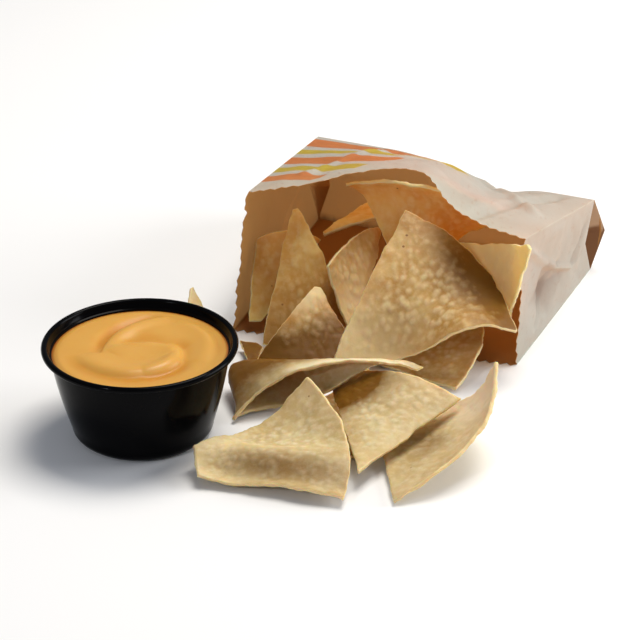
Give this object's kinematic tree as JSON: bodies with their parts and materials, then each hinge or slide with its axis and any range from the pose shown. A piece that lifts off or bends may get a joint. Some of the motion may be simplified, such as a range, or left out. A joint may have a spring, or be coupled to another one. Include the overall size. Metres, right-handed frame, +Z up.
{
  "type": "tortilla chips in a paper bag with a cup of cheese dip",
  "caption": "Fried tortilla chips spilling out of an open kraft paper bag that lies on its side, with a small black portion cup of warm cheese dip beside them.",
  "frame": {"origin": "middle of the footprint of the whole, on the table", "axes": "+X to the right of someone facing the bag's mouth and the cup, +Y away from them towards the folded end of the bag, +Z up"},
  "size_m": [0.2301, 0.2571, 0.0647],
  "materials": {
    "fried_tortilla": null,
    "kraft_paper": "matt uncoated kraft, printed with plain stripes on its upper panel",
    "black_plastic": "glossy black polypropylene",
    "cheese_dip": null
  },
  "bodies": {
    "root": {"chip_front": "fried_tortilla", "chip_on_table": "fried_tortilla", "chip_arch": "fried_tortilla", "chip_flat": "fried_tortilla", "chip_spike": "fried_tortilla", "chip_slope": "fried_tortilla", "chip_centre": "fried_tortilla", "chip_under": "fried_tortilla", "chip_stub": "fried_tortilla", "chip_tall": "fried_tortilla", "chip_wall": "fried_tortilla", "chip_middle": "fried_tortilla", "chip_rear": "fried_tortilla", "chip_lid": "fried_tortilla", "chip_corner": "fried_tortilla", "chip_behind": "fried_tortilla", "bag": "kraft_paper", "cup": "black_plastic", "cheese": "cheese_dip"}
  },
  "joints": []
}
